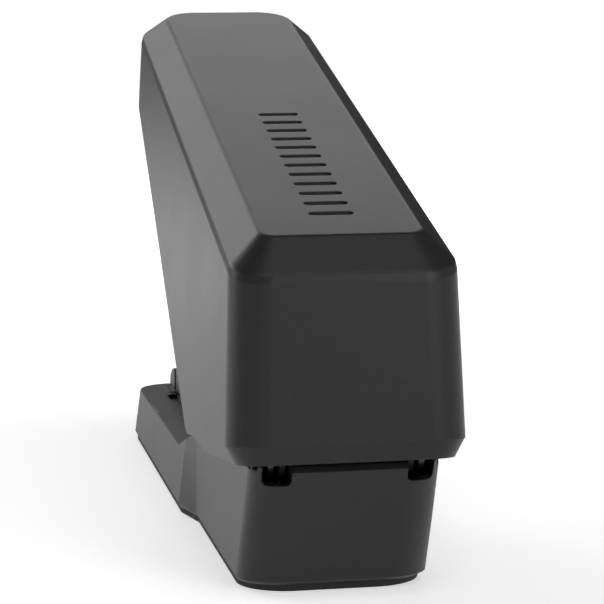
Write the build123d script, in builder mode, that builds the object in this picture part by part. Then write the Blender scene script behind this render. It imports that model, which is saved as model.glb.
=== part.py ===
from build123d import *
import math
import os

os.makedirs("parts", exist_ok=True)

# Battery-powered desk stapler, millimetres, +Z up, nose towards -Y, hinge towards +Y.
# The origin is the middle of the overall footprint, on the table.
# Lengths along the base are given as f, the distance forward of the base's rear lower edge.

# ---------------------------------------------------------------- driving dimensions
REAR_Y = 93.65            # y of the base's rear lower edge
HINGE_F, HINGE_Z = -8.0, 29.5   # hinge axis
OPEN_DEG = 20.0           # the cover stands this far above its closed place
TOP_DEG = 16.1            # slope of the raised cover's top face
COVER_F, COVER_Z = -18.67, 32.48   # rear lower corner of the cover's straight rear face
COVER_W = 23.5            # half width there
DRAFT = 0.037             # the sides lean in by this much per mm of height
WALL = 2.2

BASE_W = 19.4             # half width of the narrow rear of the base, at the table
FOOT_W = 22.0             # half width of the front foot, at the table
BASE_LEN = 206.0
PLATFORM_Z = 14.6
BASE_TOP = 27.5

MAG_Z = 16.0              # underside of the magazine
MAG_W = 12.0              # half width of the magazine housing
BLADE_F = 176.0           # where the driver blade comes down

PIN_R = 2.0
M1 = 0.6                  # gear module of the train
M2 = 0.8                  # module of the rack drive


def Y(f):
    return REAR_Y - f


rad = math.radians
co, so = math.cos(rad(OPEN_DEG)), math.sin(rad(OPEN_DEG))
ct, st = math.cos(rad(TOP_DEG)), math.sin(rad(TOP_DEG))
HX = (0.0, Y(HINGE_F), HINGE_Z)

# side view of the whole thing: local x = f, local y = z, normal -X
SIDE = Plane(origin=(0, REAR_Y, 0), x_dir=(0, -1, 0), z_dir=(-1, 0, 0))
# side view of the cover as if it were closed: local x = forward of the hinge, local y = up
CS = Plane(origin=HX, x_dir=(0, -co, so), z_dir=(-1, 0, 0))


def front(f):
    """Cross-section plane of the base and magazine at f: local x = x, local y = z, normal forward."""
    return Plane(origin=(0, Y(f), 0), x_dir=(1, 0, 0), z_dir=(0, -1, 0))


def cplan(h):
    """Plan plane of the cover's works, h above the hinge: local (x, -forward)."""
    return Plane(origin=(0, HX[1] + h * so, HX[2] + h * co), x_dir=(1, 0, 0), z_dir=(0, so, co))


def cfront(fp):
    """Cross-section plane of the cover's works at fp forward of the hinge: local (x, up)."""
    return Plane(origin=(0, HX[1] - fp * co, HX[2] + fp * so), x_dir=(1, 0, 0), z_dir=(0, -co, so))


def tplan(v):
    """Plane parallel to the cover's top face, v above the rear lower corner: local (x, -u)."""
    return Plane(origin=(0, Y(COVER_F) + v * st, COVER_Z + v * ct), x_dir=(1, 0, 0), z_dir=(0, st, ct))


def cbox(x0, x1, f0, f1, h0, h1, mode=Mode.ADD):
    """Block in the cover's works."""
    with BuildSketch(cplan(h0)) as sk:
        with Locations(((x0 + x1) / 2, -(f0 + f1) / 2)):
            Rectangle(x1 - x0, f1 - f0)
    extrude(sk.sketch, amount=h1 - h0, mode=mode)


def wbox(x0, x1, f0, f1, z0, z1, mode=Mode.ADD):
    """Block in the base or magazine."""
    with BuildSketch(Plane.XY.offset(z0)) as sk:
        with Locations(((x0 + x1) / 2, Y((f0 + f1) / 2))):
            Rectangle(x1 - x0, f1 - f0)
    extrude(sk.sketch, amount=z1 - z0, mode=mode)


def side_prism(pts, x0, x1, mode=Mode.ADD, plane=SIDE, fil=()):
    """Side-view polygon extruded from x0 to x1; fil lists corners to round as (a, b, radius)."""
    pl = plane.offset(-x0)
    with BuildSketch(pl) as sk:
        Polygon(*pts, align=None)
        for (px, py, r) in fil:
            corner = sk.vertices().sort_by_distance(Vector(px, py, 0))[0]
            fillet(corner, radius=r)
    extrude(sk.sketch, amount=-(x1 - x0), mode=mode)


def side_disc(c, r, x0, x1, mode=Mode.ADD, plane=SIDE):
    """Disc about an axis along X, from x0 to x1."""
    with BuildSketch(plane.offset(-x0)) as sk:
        with Locations(c):
            Circle(r)
    extrude(sk.sketch, amount=-(x1 - x0), mode=mode)


def rounded(w, y0, y1, r0, r1):
    """Rounded outline, half width w, from local y0 (rear, radius r0) to y1 (front, radius r1)."""
    ya, yb = -y0, -y1
    with BuildLine() as outline:
        Line((-w + r0, ya), (w - r0, ya))
        RadiusArc((w - r0, ya), (w, ya - r0), r0)
        Line((w, ya - r0), (w, yb + r1))
        RadiusArc((w, yb + r1), (w - r1, yb), r1)
        Line((w - r1, yb), (-w + r1, yb))
        RadiusArc((-w + r1, yb), (-w, yb + r1), r1)
        Line((-w, yb + r1), (-w, ya - r0))
        RadiusArc((-w, ya - r0), (-w + r0, ya), r0)
    make_face(outline.edges())


def ringloft(rows, plane_of, mode=Mode.ADD):
    """Ruled loft through rounded outlines, one pair of neighbours at a time."""
    for a, b in zip(rows[:-1], rows[1:]):
        with BuildSketch(plane_of(a[0])) as lower:
            rounded(*a[1:])
        with BuildSketch(plane_of(b[0])) as upper:
            rounded(*b[1:])
        loft([lower.sketch, upper.sketch], ruled=True, mode=mode)


# ================================================================ COVER
# rows: height over the rear lower corner, half width, rear, front, rear radius, front radius
OUT = [
    (-32.0, COVER_W + 32 * DRAFT, -32 * 0.3266, 198.2, 7.5, 14.0),
    (29.2, 22.42, 9.54, 198.2, 7.5, 14.0),
    (30.8, 22.05, 10.35, 197.6, 7.2, 13.6),
    (35.92, 16.05, 17.9, 190.6, 3.0, 8.0),
]
INN = [
    (-40.0, COVER_W + 40 * DRAFT - WALL, -40 * 0.3266 + 2.3, 196.0, 5.3, 11.8),
    (29.5, 20.2, 12.1, 195.7, 5.2, 11.6),
    (33.5, 15.5, 18.2, 190.2, 2.0, 6.5),
]
# lower contour in the side view
BEV = 0.1113
LOWER = [
    (-60.0, COVER_Z + BEV * (60 + COVER_F)),
    (46.7, COVER_Z - BEV * (46.7 - COVER_F)),
    (200.0, 25.2 + 0.642 * (200 - 46.7)),
    (200.0, 260.0),
    (-60.0, 260.0),
]
bev_a = math.atan(BEV)


def bplan(n):
    """Plane parallel to the lower rim's slope, n above it: local (x, -along)."""
    return Plane(origin=(0, Y(COVER_F) - n * math.sin(bev_a), COVER_Z + n * math.cos(bev_a)),
                 x_dir=(1, 0, 0), z_dir=(0, -math.sin(bev_a), math.cos(bev_a)))


# battery door outline, in the plane of the side: u0, u1, v0, v1
DOOR = (23.0, 75.0, 1.6, 27.0)
DOOR_X, DOOR_V = -22.3, 2.9   # axis of the door's hinge, along the top face's slope


def ucyl(r, u0, u1, mode=Mode.ADD):
    """Round bar on the door's hinge axis, from u0 to u1."""
    pl = Plane(origin=(0, Y(COVER_F) - u0 * ct, COVER_Z + u0 * st), x_dir=(1, 0, 0), z_dir=(0, -ct, st))
    with BuildSketch(pl) as sk:
        with Locations((DOOR_X, DOOR_V)):
            Circle(r)
    extrude(sk.sketch, amount=u1 - u0, mode=mode)


def tside_prism(u0, u1, v0, v1, x0, x1, r, mode):
    """Rounded rectangle square to the top face, pushed along X from x0 to x1."""
    pl = Plane(origin=(0, Y(COVER_F), COVER_Z), x_dir=(0, -ct, st), z_dir=(-1, 0, 0)).offset(-x0)
    with BuildSketch(pl) as sk:
        with Locations(((u0 + u1) / 2, (v0 + v1) / 2)):
            RectangleRounded(u1 - u0, v1 - v0, r)
    extrude(sk.sketch, amount=-(x1 - x0), mode=mode)


def top_height(e):
    """Height of an edge's middle over the cover's rear lower corner, square to the top face."""
    return tplan(0).to_local_coords(e @ 0.5).Z


with BuildPart() as cover_shell:
    ringloft(OUT, tplan)
    side_prism(LOWER, -40, 40, mode=Mode.INTERSECT, fil=[(46.7, 25.2, 9.0)])
    # soften the edges of the top face, the sloping band and the small ledge under it
    fillet([e for e in cover_shell.edges() if abs(top_height(e) - 35.92) < 0.05], radius=1.2)
    fillet([e for e in cover_shell.edges() if abs(top_height(e) - 30.8) < 0.05], radius=1.0)
    fillet([e for e in cover_shell.edges() if abs(top_height(e) - 29.2) < 0.05 and e.length > 3], radius=0.6)
    ringloft(INN, tplan, mode=Mode.SUBTRACT)
    # lower rim: a band that leans in all round, open at its front
    ringloft([(0.0, COVER_W - 0.02, 0.0, 62.9, 7.5, 1.2), (-3.62, 21.6, 1.1, 59.6, 7.2, 1.0)], bplan)
    with BuildSketch(bplan(0.6)):
        rounded(21.0, 2.4, 90.0, 5.2, 1.0)
    with BuildSketch(bplan(-4.4)):
        rounded(19.85, 3.2, 90.0, 5.2, 1.0)
    loft(ruled=True, mode=Mode.SUBTRACT)
    # screw towers for the works
    for sx in (-1, 1):
        for fp in (73.0, 112.5):
            with BuildSketch(cplan(2.6)):
                with Locations((sx * 17.4, -fp)):
                    Circle(2.5)
            extrude(amount=26.5 if fp < 90 else 24.5)
            with BuildSketch(cplan(2.6)):
                with Locations((sx * 17.4, -fp)):
                    Circle(0.95)
            extrude(amount=10.0, mode=Mode.SUBTRACT)
            # webs from the towers to the side walls
            cbox(min(sx * 19.4, sx * 21.2), max(sx * 19.4, sx * 21.2), fp - 0.6, fp + 0.6, 6.0, 24.0)
    # battery opening in the far side, with a step for the door to sit on
    tside_prism(*DOOR, -30, -16.5, 0.8, Mode.SUBTRACT)
    ucyl(0.65, DOOR[0] - 1.5, DOOR[0] + 0.1, mode=Mode.SUBTRACT)
    ucyl(0.65, DOOR[1] - 0.1, DOOR[1] + 1.5, mode=Mode.SUBTRACT)
    # slot for the power switch and a hole for the light
    with BuildSketch(CS.offset(30)):
        with Locations((91.0, 14.0)):
            RectangleRounded(11.0, 3.8, 1.4)
        with Locations((102.5, 14.0)):
            Circle(1.55)
    extrude(amount=-12, mode=Mode.SUBTRACT)
    # sunk grip bars on the top face
    with BuildSketch(tplan(35.92 - 0.55)):
        with Locations(*[(0.2, -(30.0 + 6.1 * i)) for i in range(12)]):
            SlotOverall(9.0, 2.1)
    extrude(amount=2, mode=Mode.SUBTRACT)
cover_shell.part.label = "cover_shell"

with BuildPart() as battery_door:
    ringloft(OUT, tplan)
    ringloft(INN, tplan, mode=Mode.SUBTRACT)
    tside_prism(DOOR[0] + 0.25, DOOR[1] - 0.25, DOOR[2] + 0.25, DOOR[3] - 0.25, -30, -16.5, 0.6, Mode.INTERSECT)
    # rounded lower edge with a pin at each end
    tside_prism(DOOR[0] - 1, DOOR[1] + 1, DOOR_V - 4, DOOR_V, -30, -16.5, 0.2, Mode.SUBTRACT)
    ucyl(1.08, DOOR[0] + 0.25, DOOR[1] - 0.25)
    ucyl(0.57, DOOR[0] - 1.3, DOOR[1] + 1.3)
    # fingernail scoop at the upper edge
    pl = Plane(origin=(0, Y(COVER_F), COVER_Z), x_dir=(0, -ct, st), z_dir=(-1, 0, 0)).offset(21.9)
    with BuildSketch(pl):
        with Locations((49.0, 25.2)):
            SlotOverall(12.0, 2.6)
    extrude(amount=4, mode=Mode.SUBTRACT)
    # two ribs inside that keep the cells from rattling
    for u in (36.0, 62.0):
        tside_prism(u - 0.6, u + 0.6, 6.0, 23.0, -20.9, -18.2, 0.4, Mode.ADD)
battery_door.part.label = "battery_door"

# ---------------------------------------------------------------- chassis of the cover
with BuildPart() as cover_chassis:
    cbox(-15.4, 15.4, 8.0, 179.5, 1.6, 2.6)
    for fp in (73.0, 112.5):
        cbox(-20.0, 20.0, fp - 3.6, fp + 3.6, 1.6, 2.6)
    # hinge arms with round ends
    for sx in (-1, 1):
        x0, x1 = sorted((sx * 14.2, sx * 15.4))
        side_prism([(-1.5, -3.9), (4.0, -3.2), (12.0, 1.6), (12.0, 2.6), (8.0, 2.6), (4.0, 4.0), (-1.5, 3.9)], x0, x1, plane=CS)
        side_disc((0, 0), 4.6, x0, x1, plane=CS)
        side_disc((0, 0), PIN_R + 0.05, x0, x1, mode=Mode.SUBTRACT, plane=CS)
    # window under the gears and holes for screws, plunger and wires
    cbox(9.3, 17.3, 134.0, 190.0, 1.0, 3.0, mode=Mode.SUBTRACT)
    with BuildSketch(cplan(1.0)):
        with Locations(*[(sx * 17.4, -fp) for sx in (-1, 1) for fp in (73.0, 112.5)]):
            Circle(1.25)
        with Locations((-13.9, -72.5)):
            Circle(1.1)
        with Locations((0, -100.0)):
            RectangleRounded(12.0, 16.0, 2.0)
    extrude(amount=2.0, mode=Mode.SUBTRACT)
    # left upright that carries the last axle
    cbox(-9.4, -8.4, 160.0, 179.0, 2.6, 19.0)
    side_disc((174.4, 14.0), 1.25, -9.4, -8.4, mode=Mode.SUBTRACT, plane=CS)
cover_chassis.part.label = "cover_chassis"

with BuildPart() as chassis_screws:
    for sx in (-1, 1):
        for fp in (73.0, 112.5):
            with BuildSketch(cplan(1.6)):
                with Locations((sx * 17.4, -fp)):
                    Circle(0.95)
            extrude(amount=8.0)
            with BuildSketch(cplan(0.2)):
                with Locations((sx * 17.4, -fp)):
                    Circle(2.1)
            extrude(amount=1.4)
            with BuildSketch(cplan(0.2)):
                with Locations((sx * 17.4, -fp)):
                    Rectangle(2.4, 0.5)
                    Rectangle(0.5, 2.4)
            extrude(amount=0.7, mode=Mode.SUBTRACT)
chassis_screws.part.label = "chassis_screws"

# ---------------------------------------------------------------- batteries
CELL_X, CELL_H, CELL_R = 7.35, (10.9, 25.3), 7.1
with BuildPart() as battery_holder:
    cbox(-15.0, 15.9, 10.0, 66.0, 2.6, 3.6)
    cbox(-15.0, 15.9, 10.0, 11.2, 3.6, 33.0)
    cbox(-15.0, 15.9, 64.8, 66.0, 3.6, 33.0)
    cbox(14.8, 15.9, 11.2, 64.8, 3.6, 33.0)
    # cradles between the layers
    for fp in (24.0, 50.0):
        with BuildSketch(cfront(fp)):
            with Locations((3.575, 18.1)):
                Rectangle(21.85, 6.0)
            with Locations(*[(sx * CELL_X, h) for sx in (-1, 1) for h in CELL_H]):
                Circle(CELL_R + 0.15, mode=Mode.SUBTRACT)
        extrude(amount=1.6)
    cbox(-0.22, 0.22, 11.2, 64.8, 3.6, 20.0)
    cbox(11.2, 14.8, 24.0, 25.6, 3.6, 33.0)
    cbox(11.2, 14.8, 50.0, 51.6, 3.6, 33.0)
    for fp in (24.0, 50.0):
        with BuildSketch(cfront(fp - 0.1)):
            with Locations(*[(sx * CELL_X, h) for sx in (-1, 1) for h in CELL_H]):
                Circle(CELL_R + 0.15)
        extrude(amount=1.8, mode=Mode.SUBTRACT)
battery_holder.part.label = "battery_holder"

with BuildPart() as battery_cells:
    for sx in (-1, 1):
        for k, h in enumerate(CELL_H):
            flip = (sx > 0) != (k > 0)
            f0 = 13.7 if flip else 12.5
            with BuildSketch(cfront(f0)) as sk:
                with Locations((sx * CELL_X, h)):
                    Circle(CELL_R)
            extrude(amount=49.0)
            with BuildSketch(cfront(f0 - 1.2 if flip else f0 + 49.0)):
                with Locations((sx * CELL_X, h)):
                    Circle(2.7)
            extrude(amount=1.2)
battery_cells.part.label = "battery_cells"

with BuildPart() as battery_contacts:
    for sx in (-1, 1):
        for k, h in enumerate(CELL_H):
            flip = (sx > 0) != (k > 0)
            # flat tab at the button end, spring cone at the other
            with BuildSketch(cfront(11.2)):
                with Locations((sx * CELL_X, h)):
                    Rectangle(9.0, 9.0)
            extrude(amount=0.4)
            with BuildSketch(cfront(64.4)):
                with Locations((sx * CELL_X, h)):
                    Rectangle(9.0, 9.0)
            extrude(amount=0.4)
            if flip:
                a, b, ra, rb = 62.7, 64.4, 2.0, 3.4
            else:
                a, b, ra, rb = 11.6, 12.5, 3.4, 2.0
            with BuildSketch(cfront(a)):
                with Locations((sx * CELL_X, h)):
                    Circle(ra)
            with BuildSketch(cfront(b)):
                with Locations((sx * CELL_X, h)):
                    Circle(rb)
            loft()
            # tab or stem that reaches the button
            if flip:
                a, b = 11.6, 12.5
            else:
                a, b = 62.7, 64.4
            with BuildSketch(cfront(a)):
                with Locations((sx * CELL_X, h)):
                    Rectangle(4.0, 2.4)
            extrude(amount=b - a)
battery_contacts.part.label = "battery_contacts"

# ---------------------------------------------------------------- control board
with BuildPart() as circuit_board:
    with BuildSketch(cplan(9.0)):
        with Locations((0, -93.0)):
            RectangleRounded(33.0, 29.0, 1.5)
        with Locations(*[(sx * 14.2, -fp) for sx in (-1, 1) for fp in (81.0, 105.0)]):
            Circle(1.0, mode=Mode.SUBTRACT)
    extrude(amount=1.6)
circuit_board.part.label = "circuit_board"

with BuildPart() as board_posts:
    for sx in (-1, 1):
        for fp in (81.0, 105.0):
            with BuildSketch(cplan(2.6)):
                with Locations((sx * 14.2, -fp)):
                    Circle(1.9)
            extrude(amount=6.4)
            with BuildSketch(cplan(9.0)):
                with Locations((sx * 14.2, -fp)):
                    Circle(0.95)
            extrude(amount=2.2)
board_posts.part.label = "board_posts"

with BuildPart() as board_components:
    cbox(3.0, 12.0, 84.0, 99.0, 10.6, 19.5)          # relay
    cbox(-7.0, 0.5, 84.0, 91.5, 10.6, 12.0)          # control chip
    cbox(-8.0, 2.0, 101.0, 106.2, 10.6, 16.5)        # motor plug
    with BuildSketch(cplan(10.6)):
        with Locations((-3.5, -96.3)):
            Circle(3.6)
    extrude(amount=11.0)                              # capacitor
    cbox(8.0, 12.6, 101.0, 103.0, 10.6, 11.6)
    cbox(8.0, 12.6, 104.0, 106.0, 10.6, 11.6)
board_components.part.label = "board_components"

with BuildPart() as switch_body:
    cbox(-19.6, -13.0, 84.5, 97.5, 10.6, 17.4)
    cbox(-19.7, -17.6, 86.0, 96.0, 12.6, 15.4, mode=Mode.SUBTRACT)
switch_body.part.label = "switch_body"

with BuildPart() as power_slider:
    cbox(-23.2, -18.2, 86.6, 89.4, 12.8, 15.2)
    cbox(-24.1, -23.2, 85.9, 92.1, 12.3, 15.7)
    cbox(-24.2, -23.8, 87.4, 87.9, 12.0, 16.0, mode=Mode.SUBTRACT)
    cbox(-24.2, -23.8, 88.7, 89.2, 12.0, 16.0, mode=Mode.SUBTRACT)
    cbox(-24.2, -23.8, 90.0, 90.5, 12.0, 16.0, mode=Mode.SUBTRACT)
power_slider.part.label = "power_slider"

with BuildPart() as status_light:
    side_disc((102.5, 14.0), 1.5, -22.9, -18.5, plane=CS)
    side_disc((102.5, 14.0), 2.2, -20.6, -18.5, plane=CS)
    fillet(status_light.faces().sort_by(Axis.X)[0].edges(), radius=0.7)
status_light.part.label = "status_light"

# ---------------------------------------------------------------- motor and gears
MOT = (131.849, 16.0)
G1 = (145.626, 15.2)
G2 = (160.009, 14.5)
G3 = (174.4, 14.0)
MOT_R = 12.0
with BuildPart() as motor_can:
    with BuildSketch(CS.offset(13.0)):
        with Locations(MOT):
            Circle(MOT_R)
        with Locations((MOT[0], MOT[1] + MOT_R + 3.0)):
            Rectangle(30, 8.0, mode=Mode.SUBTRACT)
        with Locations((MOT[0], MOT[1] - MOT_R - 3.0)):
            Rectangle(30, 8.0, mode=Mode.SUBTRACT)
    extrude(amount=-21.0)
    side_disc(MOT, 4.0, 8.0, 8.2, plane=CS)
    side_disc(MOT, 1.1, -13.1, 8.3, mode=Mode.SUBTRACT, plane=CS)
motor_can.part.label = "motor_can"

with BuildPart() as motor_endcap:
    with BuildSketch(CS.offset(16.2)):
        with Locations(MOT):
            Circle(MOT_R - 0.5)
        with Locations((MOT[0], MOT[1] + MOT_R + 3.0)):
            Rectangle(30, 8.6, mode=Mode.SUBTRACT)
        with Locations((MOT[0], MOT[1] - MOT_R - 3.0)):
            Rectangle(30, 8.6, mode=Mode.SUBTRACT)
    extrude(amount=-3.2)
    side_disc(MOT, 1.1, -14.5, -12.9, mode=Mode.SUBTRACT, plane=CS)
    # brush terminals
    cbox(-18.2, -16.2, MOT[0] - 7.2, MOT[0] - 6.6, 14.5, 17.5)
    cbox(-18.2, -16.2, MOT[0] + 6.6, MOT[0] + 7.2, 14.5, 17.5)
motor_endcap.part.label = "motor_endcap"


def gear_outline(z, m, phase, thin=0.42):
    """Closed list of (a, r) points as x, y about the centre; one tooth centred on the phase angle."""
    r = z * m / 2
    rt, rf = r + 0.88 * m, r - 1.2 * m
    half = thin * math.pi * m / 2
    k = math.tan(rad(20))
    ap = half / r
    at = (half - 0.86 * k * 0.88 * m) / rt
    am = (half - 0.40 * k * 0.45 * m) / (r + 0.45 * m)
    ar = min((half + 0.75 * k * 1.2 * m) / rf, 0.86 * math.pi / z)
    pts = []
    for i in range(z):
        c = rad(phase) + 2 * math.pi * i / z
        for a, q in ((-ar, rf), (-ap, r), (-am, r + 0.45 * m), (-at, rt), (at, rt), (am, r + 0.45 * m), (ap, r), (ar, rf)):
            pts.append((q * math.cos(c + a), q * math.sin(c + a)))
    return pts


def gear_disc(c, z, m, phase, x0, x1):
    pts = [(c[0] + a, c[1] + b) for a, b in gear_outline(z, m, phase)]
    with BuildSketch(CS.offset(-x0)) as sk:
        Polygon(*pts, align=None)
    extrude(sk.sketch, amount=-(x1 - x0))


def ang(a, b):
    return math.degrees(math.atan2(b[1] - a[1], b[0] - a[0]))


A1, A2, A3 = ang(MOT, G1), ang(G1, G2), ang(G2, G3)

with BuildPart() as motor_pinion:
    side_disc(MOT, 1.0, -13.8, 17.0, plane=CS)
    gear_disc(MOT, 10, M1, A1, 14.4, 17.0)
motor_pinion.part.label = "motor_pinion"


def thin_web(c, x0, x1, r0, r1):
    """Shallow ring cut in a gear's face."""
    with BuildSketch(CS.offset(-x0)) as sk:
        with Locations(c):
            Circle(r1)
            Circle(r0, mode=Mode.SUBTRACT)
    extrude(sk.sketch, amount=-(x1 - x0), mode=Mode.SUBTRACT)


with BuildPart() as gear_one:
    gear_disc(G1, 36, M1, A1 + 180 + 5, 14.6, 16.8)
    gear_disc(G1, 12, M1, A2, 12.0, 14.6)
    side_disc(G1, 2.3, 16.8, 17.1, plane=CS)
    thin_web(G1, 16.1, 16.9, 4.2, 8.6)
    side_disc(G1, 1.3, 11.9, 17.2, mode=Mode.SUBTRACT, plane=CS)
gear_one.part.label = "gear_one"

with BuildPart() as gear_two:
    gear_disc(G2, 36, M1, A2 + 180 + 5, 12.1, 14.3)
    gear_disc(G2, 12, M1, A3, 9.5, 12.1)
    side_disc(G2, 2.3, 14.3, 17.1, plane=CS)
    thin_web(G2, 13.6, 14.4, 4.2, 8.6)
    side_disc(G2, 1.3, 9.4, 17.2, mode=Mode.SUBTRACT, plane=CS)
gear_two.part.label = "gear_two"

with BuildPart() as gear_three:
    gear_disc(G3, 36, M1, A3 + 180 + 5, 9.6, 11.8)
    side_disc(G3, 3.0, 7.6, 9.6, plane=CS)
    side_disc(G3, 2.3, 11.8, 17.1, plane=CS)
    gear_disc(G3, 12, M2, 0, 3.9, 7.6)
    thin_web(G3, 11.1, 11.9, 4.2, 8.6)
    side_disc(G3, 1.3, 3.8, 17.2, mode=Mode.SUBTRACT, plane=CS)
gear_three.part.label = "gear_three"

with BuildPart() as gear_axles:
    side_disc(G1, 1.25, 8.2, 18.4, plane=CS)
    side_disc(G2, 1.25, 8.2, 18.4, plane=CS)
    side_disc(G3, 1.25, -9.4, 18.4, plane=CS)
gear_axles.part.label = "gear_axles"

with BuildPart() as gear_plate_inner:
    side_prism([(118.5, 2.6), (134.0, 2.6), (139.0, 4.0), (179.0, 4.0), (179.0, 24.4), (150.0, 26.0), (118.5, 26.0)], 8.2, 9.2, plane=CS)
    side_disc(MOT, 4.0, 8.1, 9.3, mode=Mode.SUBTRACT, plane=CS)
    side_disc(G1, 1.25, 8.1, 9.3, mode=Mode.SUBTRACT, plane=CS)
    side_disc(G2, 1.25, 8.1, 9.3, mode=Mode.SUBTRACT, plane=CS)
    side_disc(G3, 3.35, 8.1, 9.3, mode=Mode.SUBTRACT, plane=CS)
gear_plate_inner.part.label = "gear_plate_inner"

with BuildPart() as gear_plate_outer:
    side_prism([(122.0, 6.0), (181.0, 6.0), (181.0, 20.5), (150.0, 22.5), (122.0, 22.5)], 17.4, 18.4, plane=CS)
    for c in (G1, G2, G3):
        side_disc(c, 1.25, 17.3, 18.5, mode=Mode.SUBTRACT, plane=CS)
    side_disc(MOT, 1.35, 17.3, 18.5, mode=Mode.SUBTRACT, plane=CS)
gear_plate_outer.part.label = "gear_plate_outer"

# ---------------------------------------------------------------- driver
BF = BLADE_F - HINGE_F        # the blade's place forward of the hinge, closed
STROKE = 8.6
with BuildPart() as driver_guide:
    cbox(-9.3, 9.3, 184.75, 186.6, -5.5, 19.0)
    cbox(7.9, 9.3, 180.2, 184.75, -5.5, 12.0)
    cbox(-9.3, -7.9, 179.5, 184.75, -5.5, 12.0)
    cbox(-9.3, -7.9, 179.0, 180.2, 2.6, 6.0)
    cbox(-15.4, -7.9, 179.5, 181.4, 1.6, 4.4)
    # rounded lower lip
    side_prism([(185.6, -5.6), (186.9, -5.6), (186.9, -3.6)], -11, 11, mode=Mode.SUBTRACT, plane=CS)
driver_guide.part.label = "driver_guide"

with BuildPart() as driver_carriage:
    cbox(-7.5, 7.5, 180.2, 183.65, 4.4, 25.8)
    # rack on the rear face
    n_teeth = 6
    pitch = math.pi * M2
    pr = G3[0] + 12 * M2 / 2      # pitch line
    hh = 0.42 * pitch / 2
    k = math.tan(rad(20))
    for i in range(-1, n_teeth - 1):
        c = 14.0 + pitch * (i + 0.5)
        pts = [(pr + 1.1, c - hh - 0.32), (pr, c - hh), (pr - 0.66, c - hh + 0.66 * k), (pr - 0.66, c + hh - 0.66 * k), (pr, c + hh), (pr + 1.1, c + hh + 0.32)]
        side_prism(pts, 4.0, 7.5, plane=CS)
    with BuildSketch(cfront(181.5)):
        with Locations(*[(x, h) for x in (-3.5, 3.5) for h in (9.0, 16.0)]):
            Circle(0.8)
    extrude(amount=4.0, mode=Mode.SUBTRACT)
driver_carriage.part.label = "driver_carriage"

with BuildPart() as driver_blade:
    cbox(-6.1, 6.1, BF - 0.3, BF + 0.3, -4.5, 20.0)
    with BuildSketch(cfront(BF - 1.0)):
        with Locations(*[(x, h) for x in (-3.5, 3.5) for h in (9.0, 16.0)]):
            Circle(0.8)
    extrude(amount=2.0, mode=Mode.SUBTRACT)
driver_blade.part.label = "driver_blade"

with BuildPart() as blade_rivets:
    for x in (-3.5, 3.5):
        for h in (9.0, 16.0):
            with BuildSketch(cfront(181.5)):
                with Locations((x, h)):
                    Circle(0.8)
            extrude(amount=BF + 0.3 - 181.5 + 0.35)
blade_rivets.part.label = "blade_rivets"

with BuildPart() as closing_switch:
    cbox(-14.8, -8.6, 67.4, 77.4, 2.6, 9.0)
    with BuildSketch(cplan(2.5)):
        with Locations((-13.9, -72.5)):
            Circle(1.2)
    extrude(amount=4.2, mode=Mode.SUBTRACT)
closing_switch.part.label = "closing_switch"

with BuildPart() as closing_plunger:
    with BuildSketch(cplan(-5.4)):
        with Locations((-13.9, -72.5)):
            Circle(0.9)
    extrude(amount=10.1)
    fillet(closing_plunger.faces().sort_by(Axis.Z)[0].edges(), radius=0.4)
closing_plunger.part.label = "closing_plunger"

# ================================================================ BASE


def base_ring(z, wn, wf, f0, f1, r0, r1, rs=4.0):
    """Plan outline of the base at height z: narrow rear, slanted shoulders, wide front foot."""
    y0, y1, ya, yb = Y(f0), Y(f1), Y(72.9), Y(85.9)
    with BuildSketch(Plane.XY.offset(z)) as sk:
        with BuildLine() as ln:
            Line((-wn + r0, y0), (wn - r0, y0))
            RadiusArc((wn - r0, y0), (wn, y0 - r0), r0)
            Line((wn, y0 - r0), (wn, ya))
            Line((wn, ya), (wf, yb))
            Line((wf, yb), (wf, y1 + r1))
            RadiusArc((wf, y1 + r1), (wf - r1, y1), r1)
            Line((wf - r1, y1), (-wf + r1, y1))
            RadiusArc((-wf + r1, y1), (-wf, y1 + r1), r1)
            Line((-wf, y1 + r1), (-wf, yb))
            Line((-wf, yb), (-wn, ya))
            Line((-wn, ya), (-wn, y0 - r0))
            RadiusArc((-wn, y0 - r0), (-wn + r0, y0), r0)
        make_face(ln.edges())
        for (px, py) in ((wn, ya), (-wn, ya), (wf, yb), (-wf, yb)):
            corner = sk.vertices().sort_by_distance(Vector(px, py, 0))[0]
            fillet(corner, radius=rs)
    return sk.sketch


BASE_SCREWS = [(-13.0, 22.0), (13.0, 22.0), (-15.5, 128.0), (15.5, 128.0), (-14.5, 193.0), (14.5, 193.0)]

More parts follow.
